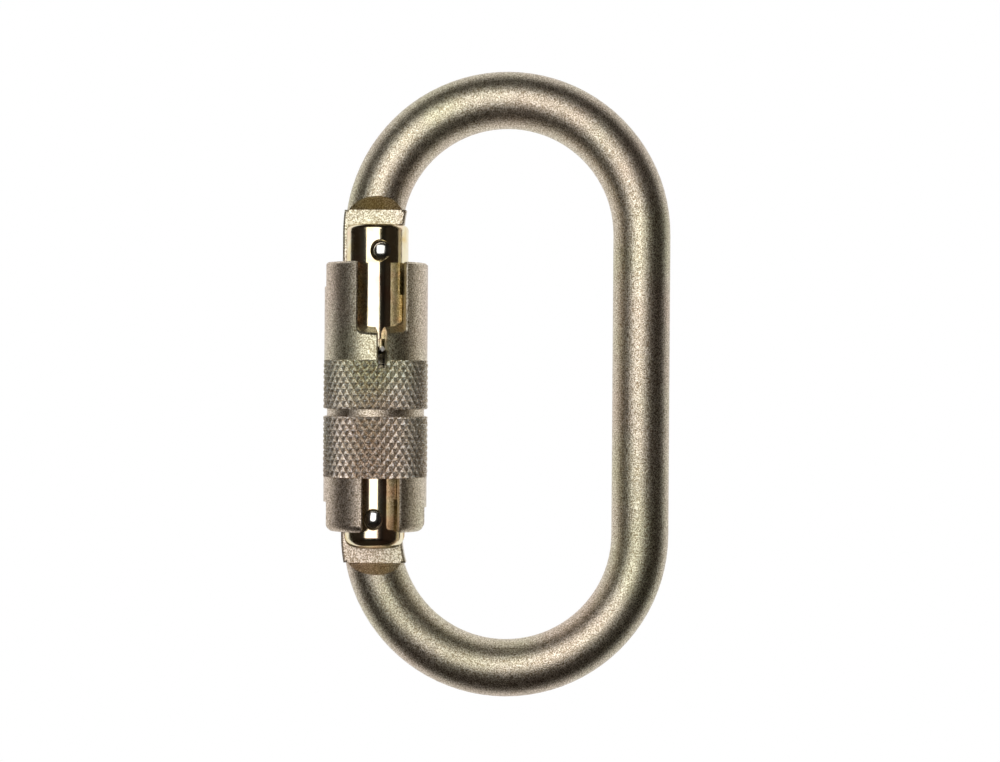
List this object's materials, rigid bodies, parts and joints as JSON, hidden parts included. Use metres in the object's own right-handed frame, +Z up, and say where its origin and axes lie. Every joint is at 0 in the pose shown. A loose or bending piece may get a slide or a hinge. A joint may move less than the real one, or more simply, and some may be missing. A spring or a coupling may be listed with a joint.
{
  "type": "locking carabiner",
  "caption": "Oval steel locking carabiner with a hinged gate, a nose hook and a knurled quarter-turn locking sleeve, both sprung shut.",
  "frame": {"origin": "inside top of the upper bow, on the oval's plane, where the carabiner hangs from its anchor", "axes": "+Z up along the oval towards the latch end, +X from the gate towards the spine, -Y towards the front face"},
  "size_m": [0.0607, 0.0184, 0.1095],
  "materials": {
    "plated_steel": "yellow zinc plating on blasted forged steel, matte",
    "polished_steel": "polished, yellow zinc plating",
    "rivet_steel": "polished steel",
    "spring_steel": "bright spring wire"
  },
  "bodies": {
    "frame": {"frame": "plated_steel"},
    "gate": {"gate_barrel": "polished_steel", "hinge_rivet": "rivet_steel", "latch_rivet": "rivet_steel", "gate_spring": "spring_steel", "sleeve_stop_pin": "rivet_steel"},
    "plunger": {"gate_plunger": "rivet_steel"},
    "lock": {"sleeve": "plated_steel", "sleeve_spring": "spring_steel"}
  },
  "joints": [
    {"name": "gate_hinge", "type": "hinge", "parent": "frame", "child": "gate", "pos_m": [-0.023, 0, -0.06835], "axis": [0, 1, 0], "range_deg": [0, 36], "stiffness_Nm_per_rad": 0.25, "springref_deg": -20.05},
    {"name": "sleeve_twist", "type": "hinge", "parent": "gate", "child": "lock", "pos_m": [-0.023, 0, -0.04475], "axis": [0, 0, -1], "range_deg": [0, 100], "stiffness_Nm_per_rad": 0.01, "springref_deg": -45.84},
    {"name": "plunger_slide", "type": "slide", "parent": "gate", "child": "plunger", "axis": [0, 0, 1], "range_m": [0, 0.0015], "deforming": ["gate_spring"]}
  ],
  "couplings": [
    {"joint": "plunger_slide", "follows": "gate_hinge", "m_per_rad": 0.00234}
  ]
}
